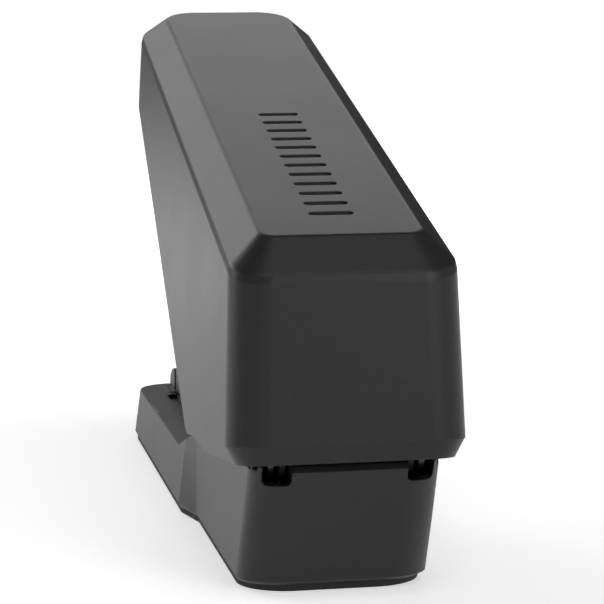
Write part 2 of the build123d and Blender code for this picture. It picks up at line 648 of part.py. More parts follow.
with BuildPart() as base_shell:
    ra = base_ring(1.3, 18.9, 21.5, 0.2, 205.4, 9.4, 9.6)
    rb = base_ring(2.3, 19.49, 22.07, -1.4, 206.0, 8.2, 10.0)
    rc = base_ring(PLATFORM_Z, 19.15, 20.4, -8.9, 205.0, 7.5, 10.0)
    rd = base_ring(28.2, 18.78, 18.92, -17.23, 203.95, 7.5, 10.0, rs=25.0)
    loft([ra, rb], ruled=True)
    loft([rb, rc], ruled=True)
    loft([rc, rd], ruled=True)
    side_prism([(-30, -1), (-30, 26.84), (-16.4, 26.84), (-15.1, 28.0), (-13.7, 28.0), (-13.4, 27.5), (50, 27.5), (98, PLATFORM_Z), (240, PLATFORM_Z), (240, -1)],
               -30, 30, mode=Mode.INTERSECT)
    # soften every edge above the platform's level
    fillet([e for e in base_shell.edges() if (e @ 0.5).Z > PLATFORM_Z - 0.1 and (e @ 0.5).Y < Y(-11.0)], radius=0.8)
    # channel the magazine lies in, wider at the hinge
    side_prism([(-6.0, PLATFORM_Z), (-14.2, 28.0), (-14.2, 40), (110, 40), (110, PLATFORM_Z)], -12.9, 12.9, mode=Mode.SUBTRACT)
    side_prism([(-6.0, PLATFORM_Z), (-14.2, 28.0), (-14.2, 40), (24, 40), (24, PLATFORM_Z)], -14.2, 14.2, mode=Mode.SUBTRACT)
    side_prism([(-3.5, PLATFORM_Z), (-11.7, 28.0), (-11.7, 40), (6, 40), (6, PLATFORM_Z)], -16.8, 16.8, mode=Mode.SUBTRACT)
    # two notches in the rear edge for the hinge arms
    for sx in (-1, 1):
        with BuildSketch(front(-20.0)):
            with Locations((sx * 14.05, 24.15 + 6.0)):
                RectangleRounded(5.5, 12.0, 1.2)
        extrude(amount=26.0, mode=Mode.SUBTRACT)
    # hollow from below
    loft([base_ring(0.9, 17.1, 19.7, 2.5, 203.2, 7.0, 7.6), base_ring(12.2, 16.9, 18.5, -4.9, 202.8, 5.2, 7.6)], ruled=True, mode=Mode.SUBTRACT)
    # stiffening ribs and screw posts
    for f in (60.0, 98.0, 145.0):
        wbox(-18.2 if f > 80 else -17.0, 18.2 if f > 80 else 17.0, f - 0.8, f + 0.8, 6.0, 12.6)
    for (x, f) in BASE_SCREWS:
        with BuildSketch(Plane.XY.offset(2.6)):
            with Locations((x, Y(f))):
                Circle(3.0)
        extrude(amount=10.0)
        with BuildSketch(Plane.XY.offset(2.6)):
            with Locations((x, Y(f))):
                Circle(1.0)
        extrude(amount=8.0, mode=Mode.SUBTRACT)
    # pocket for the paper table and the anvil, with holes for sensor and wires
    with BuildSketch(Plane.XY.offset(13.5)):
        with Locations((0, Y(154.0))):
            RectangleRounded(24.9, 92.4, 2.2)
        with Locations((0, Y(174.4))):
            RectangleRounded(28.6, 13.6, 1.8)
    extrude(amount=3.0, mode=Mode.SUBTRACT)
    wbox(-3.9, 3.9, 151.0, 164.0, 10.0, 20.0, mode=Mode.SUBTRACT)
    for x in (-9.6, 9.6):
        with BuildSketch(Plane.XY.offset(11.0)):
            with Locations((x, Y(174.4))):
                Circle(1.25)
        extrude(amount=4.0, mode=Mode.SUBTRACT)
    # ears that carry the hinge pin
    for sx in (-1, 1):
        a, b = sorted((sx * 17.0, sx * 18.4))
        wbox(a, b, -11.2, -4.8, 26.6, HINGE_Z)
        side_disc((HINGE_F, HINGE_Z), 3.2, a, b)
        a, b = sorted((sx * 8.9, sx * 11.2))
        side_prism([(-6.0, 14.4), (3.0, 14.4), (-3.8, 28.0), (-3.8, HINGE_Z), (-12.2, HINGE_Z), (-13.2, 26.0)], a, b)
        side_disc((HINGE_F, HINGE_Z), 4.2, a, b)
    side_disc((HINGE_F, HINGE_Z), PIN_R, -19.5, 19.5, mode=Mode.SUBTRACT)
base_shell.part.label = "base_shell"

with BuildPart() as base_plate:
    loft([base_ring(1.3, 16.9, 19.5, 2.7, 203.0, 6.9, 7.4), base_ring(2.6, 16.85, 19.4, 1.9, 202.9, 6.7, 7.4)], ruled=True)
    for (x, f) in BASE_SCREWS:
        with BuildSketch(Plane.XY.offset(1.0)):
            with Locations((x, Y(f))):
                Circle(1.25)
        extrude(amount=2.0, mode=Mode.SUBTRACT)
        with BuildSketch(Plane.XY.offset(1.2)):
            with Locations((x, Y(f))):
                Circle(2.4)
        extrude(amount=0.9, mode=Mode.SUBTRACT)
base_plate.part.label = "base_plate"

with BuildPart() as base_screws:
    for (x, f) in BASE_SCREWS:
        with BuildSketch(Plane.XY.offset(1.35)):
            with Locations((x, Y(f))):
                Circle(2.2)
        extrude(amount=0.75)
        with BuildSketch(Plane.XY.offset(2.0)):
            with Locations((x, Y(f))):
                Circle(1.0)
        extrude(amount=7.3)
        with BuildSketch(Plane.XY.offset(1.3)):
            with Locations((x, Y(f))):
                Rectangle(2.4, 0.5)
                Rectangle(0.5, 2.4)
        extrude(amount=0.45, mode=Mode.SUBTRACT)
base_screws.part.label = "base_screws"

with BuildPart() as rubber_sole:
    loft([base_ring(0.0, 18.75, 21.4, 0.6, 205.2, 10.6, 9.6), base_ring(1.3, 18.8, 21.42, 0.35, 205.3, 9.6, 9.6)], ruled=True)
rubber_sole.part.label = "rubber_sole"

with BuildPart() as paper_table:
    with BuildSketch(Plane.XY.offset(13.5)):
        with Locations((0, Y(154.0))):
            RectangleRounded(24.4, 91.9, 2.0)
        with Locations((0, Y(174.4))):
            RectangleRounded(28.6, 13.6, 1.8, mode=Mode.SUBTRACT)
        with Locations((0, Y(157.2))):
            Rectangle(4.4, 12.6, mode=Mode.SUBTRACT)
    extrude(amount=1.05)
paper_table.part.label = "paper_table"

with BuildPart() as anvil_plate:
    with BuildSketch(Plane.XY.offset(13.5)):
        with Locations((0, Y(174.4))):
            RectangleRounded(23.2, 13.2, 1.6)
        with Locations((-9.6, Y(174.4)), (9.6, Y(174.4))):
            Circle(1.3, mode=Mode.SUBTRACT)
    extrude(amount=1.1)
    # two curved pockets that turn the staple's legs in
    for sx in (-1, 1):
        with BuildSketch(Plane(origin=(sx * 3.6, Y(BLADE_F), 19.35), x_dir=(1, 0, 0), z_dir=(0, -1, 0)).offset(-0.7)):
            Circle(5.2)
        extrude(amount=1.4, mode=Mode.SUBTRACT)
anvil_plate.part.label = "anvil_plate"

with BuildPart() as anvil_screws:
    for x in (-9.6, 9.6):
        with BuildSketch(Plane.XY.offset(12.4)):
            with Locations((x, Y(174.4))):
                Circle(1.25)
        extrude(amount=2.1)
        wbox(x - 0.9, x + 0.9, 174.15, 174.65, 14.1, 14.7, mode=Mode.SUBTRACT)
anvil_screws.part.label = "anvil_screws"

# paper feeler: a small lever that the sheets push down
SENS = (161.5, 12.3)
with BuildPart() as sensor_lever:
    side_prism([(151.8, 13.6), (153.4, 15.6), (155.4, 15.6), (161.0, 13.9), (163.1, 12.9), (162.5, 11.3), (160.5, 11.3), (157.0, 12.4)], -1.5, 1.5)
    side_disc(SENS, 1.5, -1.5, 1.5)
    side_prism([(160.6, 11.8), (162.3, 11.8), (161.9, 6.5), (160.9, 6.5)], -0.7, 0.7)
    side_disc(SENS, 0.85, -1.6, 1.6, mode=Mode.SUBTRACT)
sensor_lever.part.label = "sensor_lever"

with BuildPart() as sensor_pin:
    side_disc(SENS, 0.8, -3.6, 3.6)
sensor_pin.part.label = "sensor_pin"

with BuildPart() as sensor_bracket:
    for sx in (-1, 1):
        a, b = sorted((sx * 2.3, sx * 3.6))
        side_prism([(159.4, 3.4), (163.6, 3.4), (163.6, 13.4), (159.4, 13.4)], a, b)
        side_disc(SENS, 0.8, a - 0.1, b + 0.1, mode=Mode.SUBTRACT)
    wbox(-3.6, 3.6, 159.4, 163.6, 2.6, 3.4)
sensor_bracket.part.label = "sensor_bracket"

with BuildPart() as sensor_switch:
    wbox(-5.5, 5.5, 165.2, 170.8, 2.6, 8.6)
    wbox(-1.2, 1.2, 164.2, 165.2, 6.2, 7.2)
sensor_switch.part.label = "sensor_switch"

with BuildPart() as hinge_pin:
    side_disc((HINGE_F, HINGE_Z), PIN_R, -18.4, 18.4)
    chamfer(hinge_pin.edges(), length=0.3)
hinge_pin.part.label = "hinge_pin"

with BuildPart() as hinge_washers:
    for sx in (-1, 1):
        a, b = sorted((sx * 11.3, sx * 11.8))
        side_disc((HINGE_F, HINGE_Z), 3.4, a, b)
        side_disc((HINGE_F, HINGE_Z), PIN_R, a, b, mode=Mode.SUBTRACT)
hinge_washers.part.label = "hinge_washers"

# ================================================================ MAGAZINE
with BuildPart() as magazine_housing:
    for sx in (-1, 1):
        a, b = sorted((sx * 7.55, sx * MAG_W))
        side_prism([(8, MAG_Z), (179.3, MAG_Z), (179.3, 17.2), (8, 17.2)], a, b)
        a, b = sorted((sx * 10.5, sx * MAG_W))
        side_prism([(8, MAG_Z), (179.3, MAG_Z), (179.3, 22.24), (166, 24.2), (8, 24.2)], a, b)
        # long shallow slot near the nose
        a, b = sorted((sx * 11.3, sx * 12.5))
        side_prism([(163.2, 21.85), (175.0, 20.1), (175.0, 20.9), (163.2, 22.65)], a, b, mode=Mode.SUBTRACT)
        # arms to the hinge
        a, b = sorted((sx * 12.0, sx * 13.2))
        side_prism([(-11.6, 31.8), (-4.6, 32.4), (8.0, 24.2), (24.0, 24.2), (24.0, 17.6), (11.0, 17.6), (-10.4, 26.2)], a, b)
        side_disc((HINGE_F, HINGE_Z), 5.0, a, b)
        side_disc((HINGE_F, HINGE_Z), PIN_R + 0.05, a, b, mode=Mode.SUBTRACT)
    wbox(-11.0, 11.0, 8.0, 34.0, 23.0, 24.2)
magazine_housing.part.label = "magazine_housing"

with BuildPart() as magazine_track:
    wbox(-7.5, 7.5, 8.0, 175.5, MAG_Z, 16.8)
    wbox(-7.5, -6.7, 8.0, 175.5, 16.8, 22.6)
    wbox(6.7, 7.5, 8.0, 175.5, 16.8, 22.6)
    # window over the paper feeler
    wbox(-2.3, 2.3, 150.4, 158.4, 15.9, 16.9, mode=Mode.SUBTRACT)
magazine_track.part.label = "magazine_track"

with BuildPart() as inner_rail:
    wbox(-5.7, 5.7, 12.0, 175.5, 16.8, 21.8)
    wbox(-4.9, 4.9, 13.0, 172.0, 16.7, 21.2, mode=Mode.SUBTRACT)
    wbox(-1.1, 1.1, 20.0, 165.0, 21.0, 22.0, mode=Mode.SUBTRACT)
    with BuildSketch(front(11.0)):
        with Locations((0, 19.2)):
            Circle(1.0)
    extrude(amount=2.5, mode=Mode.SUBTRACT)
    with BuildSketch(front(171.5)):
        with Locations((0, 19.2)):
            Circle(1.0)
    extrude(amount=3.0, mode=Mode.SUBTRACT)
inner_rail.part.label = "inner_rail"

with BuildPart() as guide_rod:
    with BuildSketch(front(11.4)):
        with Locations((0, 19.2)):
            Circle(1.0)
    extrude(amount=162.6)
guide_rod.part.label = "guide_rod"

with BuildPart() as staple_strip:
    wbox(-6.4, 6.4, 75.0, 175.0, 21.9, 22.4)
    wbox(-6.4, -5.9, 75.0, 175.0, 17.0, 21.9)
    wbox(5.9, 6.4, 75.0, 175.0, 17.0, 21.9)
staple_strip.part.label = "staple_strip"

with BuildPart() as magazine_leaf:
    # bowed leaf that holds the magazine off the base
    side_prism([(30.0, PLATFORM_Z), (36.0, PLATFORM_Z), (43.0, 15.66), (50.0, PLATFORM_Z), (56.0, PLATFORM_Z),
                (56.0, 14.9), (50.2, 14.9), (43.0, 15.98), (35.8, 14.9), (30.0, 14.9)], -4.5, 4.5)
magazine_leaf.part.label = "magazine_leaf"

with BuildPart() as nose_cap:
    side_prism([(178.0, 17.3), (184.0, 17.3), (184.0, 21.4), (178.0, 22.4)], -10.3, 10.3)
    side_prism([(179.5, MAG_Z + 0.1), (192.2, MAG_Z + 0.1), (189.6, 19.3), (185.0, 21.4), (179.5, 22.2)], -12.3, 12.3, fil=[(192.2, 16.1, 0.8), (185.0, 21.4, 1.3)])
    with BuildSketch(front(177.0)):
        with Locations((-8.6, 19.2), (8.6, 19.2)):
            Circle(0.75)
    extrude(amount=5.8, mode=Mode.SUBTRACT)
nose_cap.part.label = "nose_cap"

with BuildPart() as front_plate:
    wbox(-10.3, 10.3, 176.7, 177.9, 17.3, 22.4)
    wbox(-7.4, 7.4, 176.7, 177.9, MAG_Z, 17.3)
    with BuildSketch(front(176.0)):
        with Locations((-8.6, 19.2), (8.6, 19.2)):
            Circle(0.75)
    extrude(amount=3.0, mode=Mode.SUBTRACT)
front_plate.part.label = "front_plate"

with BuildPart() as nose_screws:
    for x in (-8.6, 8.6):
        with BuildSketch(front(176.8)):
            with Locations((x, 19.2)):
                Circle(0.75)
        extrude(amount=6.0)
nose_screws.part.label = "nose_screws"
with BuildPart() as staple_pusher:
    wbox(-6.5, 6.5, 60.0, 74.0, 21.95, 23.7)
    wbox(-6.5, -5.85, 60.0, 74.0, 17.1, 21.95)
    wbox(5.85, 6.5, 60.0, 74.0, 17.1, 21.95)
    wbox(-0.8, 0.8, 61.0, 73.0, 20.6, 22.0)
    wbox(-4.6, 4.6, 60.0, 74.0, 17.4, 20.8)
    with BuildSketch(front(59.0)):
        with Locations((0, 19.2)):
            Circle(1.2)
    extrude(amount=16.0, mode=Mode.SUBTRACT)
    # finger tab on top
    side_prism([(60.0, 23.6), (63.0, 23.6), (61.8, 27.2), (60.6, 27.2)], -4.0, 4.0)
staple_pusher.part.label = "staple_pusher"

with BuildPart() as pusher_spring:
    with BuildLine() as coil:
        Helix(pitch=2.4, height=45.0, radius=1.6, center=(0, Y(14.0), 19.2), direction=(0, -1, 0))
    with BuildSketch(Plane(origin=coil.line @ 0, z_dir=coil.line % 0)):
        Circle(0.25)
    sweep(path=coil.line, is_frenet=True)
pusher_spring.part.label = "pusher_spring"

with BuildPart() as cover_spring:
    with BuildLine() as coil2:
        Helix(pitch=2.4, height=16.8, radius=3.4, center=(0, Y(27.0), 24.9))
    with BuildSketch(Plane(origin=coil2.line @ 0, z_dir=coil2.line % 0)):
        Circle(0.4)
    sweep(path=coil2.line, is_frenet=True)
cover_spring.part.label = "cover_spring"

for piece in (
    base_shell, base_plate, base_screws, rubber_sole, paper_table, anvil_plate, anvil_screws,
    sensor_lever, sensor_pin, sensor_bracket, sensor_switch, hinge_pin, hinge_washers,
    magazine_housing, magazine_track, inner_rail, guide_rod, staple_strip, nose_cap, front_plate, nose_screws,
    staple_pusher, pusher_spring, cover_spring, magazine_leaf,
    cover_shell, battery_door, cover_chassis, chassis_screws, battery_holder, battery_cells, battery_contacts,
    circuit_board, board_posts, board_components, switch_body, power_slider, status_light,
    motor_can, motor_endcap, motor_pinion, gear_one, gear_two, gear_three, gear_axles,
    gear_plate_inner, gear_plate_outer, driver_guide, driver_carriage, driver_blade, blade_rivets,
    closing_switch, closing_plunger,
):
    export_step(piece.part, "parts/" + piece.part.label + ".step")
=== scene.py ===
import math
import bpy
import bmesh
from mathutils import Matrix, Vector


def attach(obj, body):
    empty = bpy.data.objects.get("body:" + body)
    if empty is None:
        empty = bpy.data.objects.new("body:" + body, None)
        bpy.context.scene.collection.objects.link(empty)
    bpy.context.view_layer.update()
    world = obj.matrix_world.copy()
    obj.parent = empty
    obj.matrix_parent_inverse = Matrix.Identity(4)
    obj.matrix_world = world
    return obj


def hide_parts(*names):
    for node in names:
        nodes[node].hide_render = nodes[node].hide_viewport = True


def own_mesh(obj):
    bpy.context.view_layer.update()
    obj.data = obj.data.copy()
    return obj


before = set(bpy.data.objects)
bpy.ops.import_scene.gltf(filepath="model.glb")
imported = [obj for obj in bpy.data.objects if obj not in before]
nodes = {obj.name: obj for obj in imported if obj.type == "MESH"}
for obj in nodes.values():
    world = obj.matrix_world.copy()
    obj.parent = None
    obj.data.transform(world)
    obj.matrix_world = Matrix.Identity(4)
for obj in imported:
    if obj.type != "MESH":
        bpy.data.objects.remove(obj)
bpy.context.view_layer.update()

# ------------------------------------------------------------------ places shared with the CAD, in metres
REAR_Y = 0.09365
HX = Vector((0.0, 0.10165, 0.0295))                 # hinge axis
A = math.radians(20.0)
FWD = Vector((0.0, -math.cos(A), math.sin(A)))      # forward in the raised cover
UP = Vector((0.0, math.sin(A), math.cos(A)))        # up in the raised cover


def C(x, f, h):
    """Point in the raised cover's works, given in mm across, forward and up from the hinge."""
    return HX + Vector((x / 1000, 0, 0)) + FWD * (f / 1000) + UP * (h / 1000)


def B(x, f, z):
    return Vector((x / 1000, REAR_Y - f / 1000, z / 1000))


# ------------------------------------------------------------------ node helpers
class Mat:
    """A node material being built."""

    def __init__(self, name):
        self.m = bpy.data.materials.new(name)
        self.m.use_nodes = True
        self.t = self.m.node_tree
        self.t.nodes.clear()
        self.out = self.t.nodes.new("ShaderNodeOutputMaterial")
        self.p = self.t.nodes.new("ShaderNodeBsdfPrincipled")
        self.link(self.p.outputs["BSDF"], self.out.inputs["Surface"])
        self.coord = self.t.nodes.new("ShaderNodeTexCoord").outputs["Object"]

    def new(self, kind, **props):
        n = self.t.nodes.new(kind)
        for k, v in props.items():
            setattr(n, k, v)
        return n

    def link(self, a, b):
        self.t.links.new(a, b)

    def noise(self, scale, detail=3.0, rough=0.55, vec=None, stretch=None, dist=0.0):
        n = self.new("ShaderNodeTexNoise")
        n.inputs["Scale"].default_value = scale
        n.inputs["Detail"].default_value = detail
        n.inputs["Roughness"].default_value = rough
        n.inputs["Distortion"].default_value = dist
        src = vec or self.coord
        if stretch:
            mp = self.new("ShaderNodeMapping")
            mp.inputs["Scale"].default_value = stretch
            self.link(src, mp.inputs["Vector"])
            src = mp.outputs["Vector"]
        self.link(src, n.inputs["Vector"])
        return n.outputs["Fac"]

    def voronoi(self, scale, feature="F1"):
        n = self.new("ShaderNodeTexVoronoi", feature=feature)
        n.inputs["Scale"].default_value = scale
        self.link(self.coord, n.inputs["Vector"])
        return n.outputs["Distance"]

    def remap(self, value, a, b, c, d, clamp=True):
        n = self.new("ShaderNodeMapRange", clamp=clamp)
        for k, v in zip(("From Min", "From Max", "To Min", "To Max"), (a, b, c, d)):
            n.inputs[k].default_value = v
        self.link(value, n.inputs["Value"])
        return n.outputs["Result"]

    def math(self, op, a, b=None, c=None):
        n = self.new("ShaderNodeMath", operation=op)
        for i, v in enumerate((a, b, c)):
            if v is None:
                continue
            if hasattr(v, "node"):
                self.link(v, n.inputs[i])
            else:
                n.inputs[i].default_value = v
        return n.outputs[0]

    def mix(self, fac, a, b, blend="MIX"):
        n = self.new("ShaderNodeMix", data_type="RGBA", blend_type=blend)
        for sock, v in ((n.inputs[0], fac), (n.inputs[6], a), (n.inputs[7], b)):
            if hasattr(v, "node"):
                self.link(v, sock)
            elif isinstance(v, (int, float)):
                sock.default_value = v
            else:
                sock.default_value = (*v, 1.0)
        return n.outputs[2]

    def edge_mask(self, radius=0.0007, lo=0.02, hi=0.30):
        """1 along convex and concave edges, 0 on the flats."""
        bev = self.new("ShaderNodeBevel", samples=6)
        bev.inputs["Radius"].default_value = radius
        geo = self.new("ShaderNodeNewGeometry")
        dot = self.new("ShaderNodeVectorMath", operation="DOT_PRODUCT")
        self.link(bev.outputs["Normal"], dot.inputs[0])
        self.link(geo.outputs["Normal"], dot.inputs[1])
        inv = self.math("SUBTRACT", 1.0, dot.outputs["Value"])
        return self.remap(inv, lo * 0.2, hi, 0.0, 1.0)

    def facing_up(self):
        geo = self.new("ShaderNodeNewGeometry")
        sep = self.new("ShaderNodeSeparateXYZ")
        self.link(geo.outputs["Normal"], sep.inputs[0])
        return self.remap(sep.outputs["Z"], 0.35, 1.0, 0.0, 1.0)

    def bump(self, height, strength, distance, normal=None, bevel=0.0):
        n = self.new("ShaderNodeBump")
        n.inputs["Strength"].default_value = strength
        n.inputs["Distance"].default_value = distance
        self.link(height, n.inputs["Height"])
        if bevel:
            bev = self.new("ShaderNodeBevel", samples=6)
            bev.inputs["Radius"].default_value = bevel
            self.link(bev.outputs["Normal"], n.inputs["Normal"])
        elif normal is not None:
            self.link(normal, n.inputs["Normal"])
        return n.outputs["Normal"]


def moulded(name, color, rough=0.42, grain=0.25, vary=0.02, wear=0.35, spec=0.22, dust=0.0, bevel=0.00045, scratch=0.25):
    """Spark-textured moulded plastic: fine grain, slow flow marks, edges lightened as rubbed wear and as a painted
    highlight, faint scratches.
    """
    k = Mat(name)
    slow = k.noise(16.0, 4.0, 0.6)
    speck = k.noise(1400.0, 2.0, 0.5)
    fine = k.noise(3600.0, 2.0, 0.6)
    pits = k.voronoi(2600.0)
    dark = [c * (1 - vary) for c in color]
    light = [c * (1 + vary) for c in color]
    col = k.mix(k.remap(slow, 0.3, 0.7, 0.0, 1.0), dark, light)
    col = k.mix(k.remap(speck, 0.35, 0.75, 0.0, 0.35), col, [c * 1.35 for c in color])
    # edges lightened: partly rubbed wear, partly a painted highlight along every edge; the wear amount sets its
    # strength
    edge = k.edge_mask()
    broken = k.remap(k.noise(220.0, 4.0, 0.65), 0.32, 0.62, 0.25, 1.0)
    rub_and_edge_highlight = k.math("MULTIPLY", k.math("MULTIPLY", edge, broken), wear)
    col = k.mix(rub_and_edge_highlight, col, [min(1.0, c * 1.9 + 0.006) for c in color])
    if dust:
        up = k.math("MULTIPLY", k.facing_up(), k.remap(k.noise(90.0, 5.0, 0.7), 0.45, 0.8, 0.0, dust))
        col = k.mix(up, col, (0.32, 0.31, 0.30))
    k.link(col, k.p.inputs["Base Color"])
    lines = k.noise(70.0, 3.0, 0.5, stretch=(1.0, 14.0, 1.0), dist=1.2)
    thin = k.remap(lines, 0.47, 0.53, 0.0, 1.0)
    thin = k.math("MULTIPLY", thin, k.math("SUBTRACT", 1.0, thin))
    r = k.remap(k.noise(45.0, 5.0, 0.6), 0.25, 0.75, rough - 0.012, rough + 0.015)
    r = k.math("SUBTRACT", r, k.math("MULTIPLY", rub_and_edge_highlight, 0.10))
    r = k.math("ADD", r, k.math("MULTIPLY", thin, 0.10 * scratch))
    k.link(r, k.p.inputs["Roughness"])
    k.p.inputs["Specular IOR Level"].default_value = spec
    k.p.inputs["IOR"].default_value = 1.48
    height = k.math("ADD", k.math("MULTIPLY", fine, 0.6), k.math("MULTIPLY", pits, 0.5))
    height = k.math("SUBTRACT", height, k.math("MULTIPLY", thin, 0.12 * scratch))
    k.link(k.bump(height, grain, 0.00006, bevel=bevel), k.p.inputs["Normal"])
    return k.m


def metal(name, color, rough=0.3, stretch=(30.0, 1.0, 30.0), scale=90.0, stain=0.25, bevel=0.0002, worn=(0.85, 0.85, 0.86), depth=0.15):
    """Rolled or ground metal: directional grain, rolling stain, bright rubbed edges."""
    k = Mat(name)
    color, worn = [c * 0.45 for c in color], [c * 0.5 for c in worn]
    grain = k.noise(scale, 3.0, 0.6, stretch=stretch)
    cloud = k.noise(38.0, 5.0, 0.65)
    col = k.mix(k.remap(grain, 0.3, 0.7, 0.0, 1.0), [c * 0.86 for c in color], [min(1, c * 1.08) for c in color])
    col = k.mix(k.remap(cloud, 0.5, 0.8, 0.0, stain), col, [c * 0.55 for c in color])
    edge = k.math("MULTIPLY", k.edge_mask(0.0003), k.remap(k.noise(500.0), 0.35, 0.6, 0.2, 0.9))
    col = k.mix(edge, col, worn)
    k.link(col, k.p.inputs["Base Color"])
    k.p.inputs["Metallic"].default_value = 1.0
    r = k.math("ADD", k.remap(grain, 0.3, 0.7, rough - 0.07, rough + 0.08), k.remap(cloud, 0.4, 0.8, 0.0, 0.10))
    k.link(r, k.p.inputs["Roughness"])
    k.link(k.bump(grain, depth, 0.00004, bevel=bevel), k.p.inputs["Normal"])
    return k.m


def rubber(name, color):
    k = Mat(name)
    a = k.noise(900.0, 4.0, 0.7)
    b = k.noise(60.0, 4.0, 0.6)
    col = k.mix(k.remap(b, 0.3, 0.7, 0.0, 1.0), [c * 0.94 for c in color], [c * 1.06 for c in color])
    col = k.mix(k.remap(a, 0.55, 0.8, 0.0, 0.2), col, (0.04, 0.039, 0.038))
    k.link(col, k.p.inputs["Base Color"])
    k.link(k.remap(a, 0.3, 0.7, 0.72, 0.9), k.p.inputs["Roughness"])
    k.p.inputs["Specular IOR Level"].default_value = 0.35
    k.link(k.bump(a, 0.4, 0.0001, bevel=0.0003), k.p.inputs["Normal"])
    return k.m


def banded(name, bands, along, start, length, rough=0.3, metallic_from=None):
    """Colours in bands along a direction, for printed sleeves."""
    k = Mat(name)
    dot = k.new("ShaderNodeVectorMath", operation="DOT_PRODUCT")
    k.link(k.coord, dot.inputs[0])
    dot.inputs[1].default_value = along
    t = k.remap(dot.outputs["Value"], start, start + length, 0.0, 1.0)
    t = k.math("ADD", t, k.math("MULTIPLY", k.math("SUBTRACT", k.noise(300.0), 0.5), 0.004))
    ramp = k.new("ShaderNodeValToRGB")
    ramp.color_ramp.interpolation = "CONSTANT"
    el = ramp.color_ramp.elements
    el[0].position, el[0].color = bands[0][0], (*bands[0][1], 1)
    el[1].position, el[1].color = bands[1][0], (*bands[1][1], 1)
    for pos, c in bands[2:]:
        e = el.new(pos)
        e.color = (*c, 1)
    k.link(t, ramp.inputs["Fac"])
    wear = k.remap(k.noise(420.0, 4.0, 0.7), 0.55, 0.75, 0.0, 0.35)
    col = k.mix(wear, ramp.outputs["Color"], (0.35, 0.34, 0.33))
    k.link(col, k.p.inputs["Base Color"])
    k.link(k.remap(k.noise(120.0, 4.0), 0.3, 0.7, rough - 0.06, rough + 0.12), k.p.inputs["Roughness"])
    k.link(k.bump(k.noise(700.0), 0.06, 0.0001), k.p.inputs["Normal"])
    return k.m


def board(name):
    """Solder mask with faint buried tracks and bright pads."""
    k = Mat(name)
    br = k.new("ShaderNodeTexBrick")
    mp = k.new("ShaderNodeMapping")
    mp.inputs["Rotation"].default_value = (0.0, 0.0, 0.0)
    mp.inputs["Scale"].default_value = (330.0, 330.0, 330.0)
    k.link(k.coord, mp.inputs["Vector"])
    k.link(mp.outputs["Vector"], br.inputs["Vector"])
    br.inputs["Scale"].default_value = 1.0
    br.inputs["Mortar Size"].default_value = 0.035
    br.inputs["Color1"].default_value = (0.012, 0.085, 0.035, 1)
    br.inputs["Color2"].default_value = (0.016, 0.110, 0.045, 1)
    br.inputs["Mortar"].default_value = (0.03, 0.20, 0.08, 1)
    v = k.voronoi(520.0)
    pad = k.remap(v, 0.10, 0.16, 1.0, 0.0)
    pick = k.remap(k.noise(260.0, 1.0), 0.58, 0.60, 0.0, 1.0)
    pad = k.math("MULTIPLY", pad, pick)
    k.link(k.mix(pad, br.outputs["Color"], (0.72, 0.68, 0.6)), k.p.inputs["Base Color"])
    k.link(k.math("MULTIPLY", pad, 0.9), k.p.inputs["Metallic"])
    k.link(k.remap(k.noise(200.0), 0.3, 0.7, 0.22, 0.36), k.p.inputs["Roughness"])
    k.link(k.bump(br.outputs["Fac"], 0.15, 0.00004), k.p.inputs["Normal"])
    return k.m


def nylon(name, color):
    k = Mat(name)
    a = k.noise(40.0, 3.0)
    col = k.mix(k.remap(a, 0.3, 0.7, 0.0, 1.0), [c * 0.93 for c in color], color)
    grease = k.math("MULTIPLY", k.remap(k.noise(160.0, 5.0, 0.7), 0.52, 0.68, 0.0, 0.55), 1.0)
    col = k.mix(grease, col, (0.26, 0.22, 0.15))
    k.link(col, k.p.inputs["Base Color"])
    k.p.inputs["Subsurface Weight"].default_value = 0.08
    k.p.inputs["Subsurface Radius"].default_value = (0.001, 0.001, 0.0008)
    k.link(k.math("SUBTRACT", k.remap(k.noise(300.0), 0.3, 0.7, 0.36, 0.5), k.math("MULTIPLY", grease, 0.35)), k.p.inputs["Roughness"])
    k.link(k.bump(k.noise(1800.0), 0.08, 0.00005, bevel=0.0001), k.p.inputs["Normal"])
    return k.m


